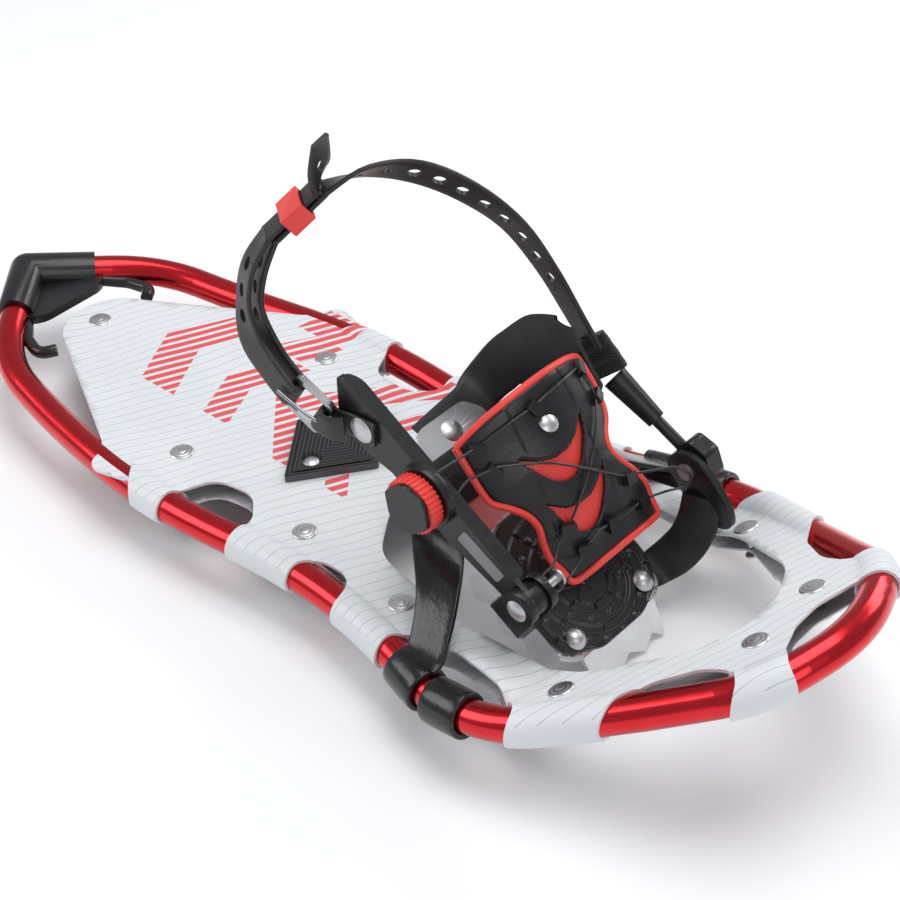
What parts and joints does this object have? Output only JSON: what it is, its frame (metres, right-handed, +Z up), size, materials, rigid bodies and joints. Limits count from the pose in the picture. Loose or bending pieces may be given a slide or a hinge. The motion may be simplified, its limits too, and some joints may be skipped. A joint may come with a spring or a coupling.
{
  "type": "snowshoe",
  "caption": "Right-foot snowshoe: bent tube frame with flexible deck, pivoting toe crampon and a lace-tightened boot binding with a heel strap.",
  "frame": {"origin": "middle of the heel pad's top face, where the boot heel lands", "axes": "+X towards the toe, +Y towards the inner side of the foot (left), +Z up"},
  "size_m": [0.5534, 0.211, 0.2372],
  "materials": {
    "anodised_tube": "deep red anodised, semi-gloss",
    "black_cap": "smooth black moulding",
    "deck_sheet": "pale grey coated decking with coral red print, black underside",
    "rivet_steel": "domed, satin",
    "pad_rubber": "matt black",
    "crampon_steel": "satin grey steel",
    "strap_rubber": "dark grey, slightly glossy",
    "black_moulding": "black, fine texture",
    "soft_wall": "soft black sheet",
    "badge": "grey inlay with a plain relief",
    "webbing": "woven black webbing",
    "shell_plastic": "dark slate satin",
    "coral": "coral red, satin",
    "lace_coat": "black coated cable",
    "buckle_metal": "plated",
    "dial_black": "black with a plain relief"
  },
  "bodies": {
    "frame": {"frame_tube": "anodised_tube", "tail_cap": "black_cap", "deck": "deck_sheet", "deck_rivets": "rivet_steel", "heel_pad": "pad_rubber", "heel_pad_rivets": "rivet_steel", "heel_crampon": "crampon_steel", "suspension_strap_right": "strap_rubber", "suspension_strap_left": "strap_rubber"},
    "binding_base": {"toe_crampon": "crampon_steel", "foot_pad": "pad_rubber", "toe_screws": "rivet_steel", "plate_rivet": "rivet_steel", "strap_bridge": "strap_rubber", "hinge_bracket_right": "black_moulding", "hinge_arm_left": "black_moulding", "hinge_pin_right": "rivet_steel", "hinge_pin_left": "rivet_steel", "medial_wall": "soft_wall"},
    "harness": {"side_rail_right": "black_moulding", "rail_badge": "badge", "rail_rivet": "rivet_steel", "dial_housing": "dial_black", "hinge_collar_left": "black_moulding", "rod_left": "black_cap", "rod_sleeve_left": "black_moulding", "ankle_cuff_left": "webbing", "instep_shell": "shell_plastic", "shell_lining": "coral", "shell_piping": "coral", "shell_rivet": "rivet_steel", "lace_guides": "dial_black", "lace": "lace_coat", "heel_strap": "soft_wall", "buckle_tongue": "soft_wall", "buckle_frame": "buckle_metal"},
    "dial_lifter": {"dial_slider": "dial_black"},
    "dial": {"dial_grip": "coral", "dial_cap": "dial_black"},
    "spool": {"lace_spool": "dial_black"},
    "prong": {"buckle_prong": "buckle_metal"},
    "keeper": {"strap_keeper": "coral"}
  },
  "joints": [
    {"name": "binding_pitch", "type": "hinge", "parent": "frame", "child": "binding_base", "pos_m": [0.0959, 0, 0.0359], "axis": [0, 1, 0], "range_deg": [-34, 2], "deforming": ["suspension_strap_right", "suspension_strap_left"]},
    {"name": "harness_fold", "type": "hinge", "parent": "binding_base", "child": "harness", "pos_m": [0.16813, 0, 0.02763], "axis": [0, 1, 0], "range_deg": [-8, 35], "deforming": ["medial_wall"]},
    {"name": "dial_pull", "type": "slide", "parent": "harness", "child": "dial_lifter", "axis": [0, -1, 0], "range_m": [0, 0.002]},
    {"name": "dial_turn", "type": "hinge", "parent": "dial_lifter", "child": "dial", "pos_m": [0.11632, -0.066, 0.06258], "axis": [0, 1, 0], "continuous": true},
    {"name": "spool_turn", "type": "hinge", "parent": "harness", "child": "spool", "pos_m": [0.11632, -0.066, 0.06258], "axis": [0, 1, 0], "continuous": true},
    {"name": "prong_swing", "type": "hinge", "parent": "harness", "child": "prong", "pos_m": [0.0608, -0.0613, 0.07952], "axis": [0.5592, 0, 0.829], "range_deg": [0, 80]},
    {"name": "keeper_slide", "type": "slide", "parent": "harness", "child": "keeper", "axis": [-0.422, -0.6562, -0.6256], "range_m": [-0.006, 0.006]}
  ],
  "couplings": [
    {"joint": "spool_turn", "follows": "dial_turn", "ratio": 1}
  ]
}
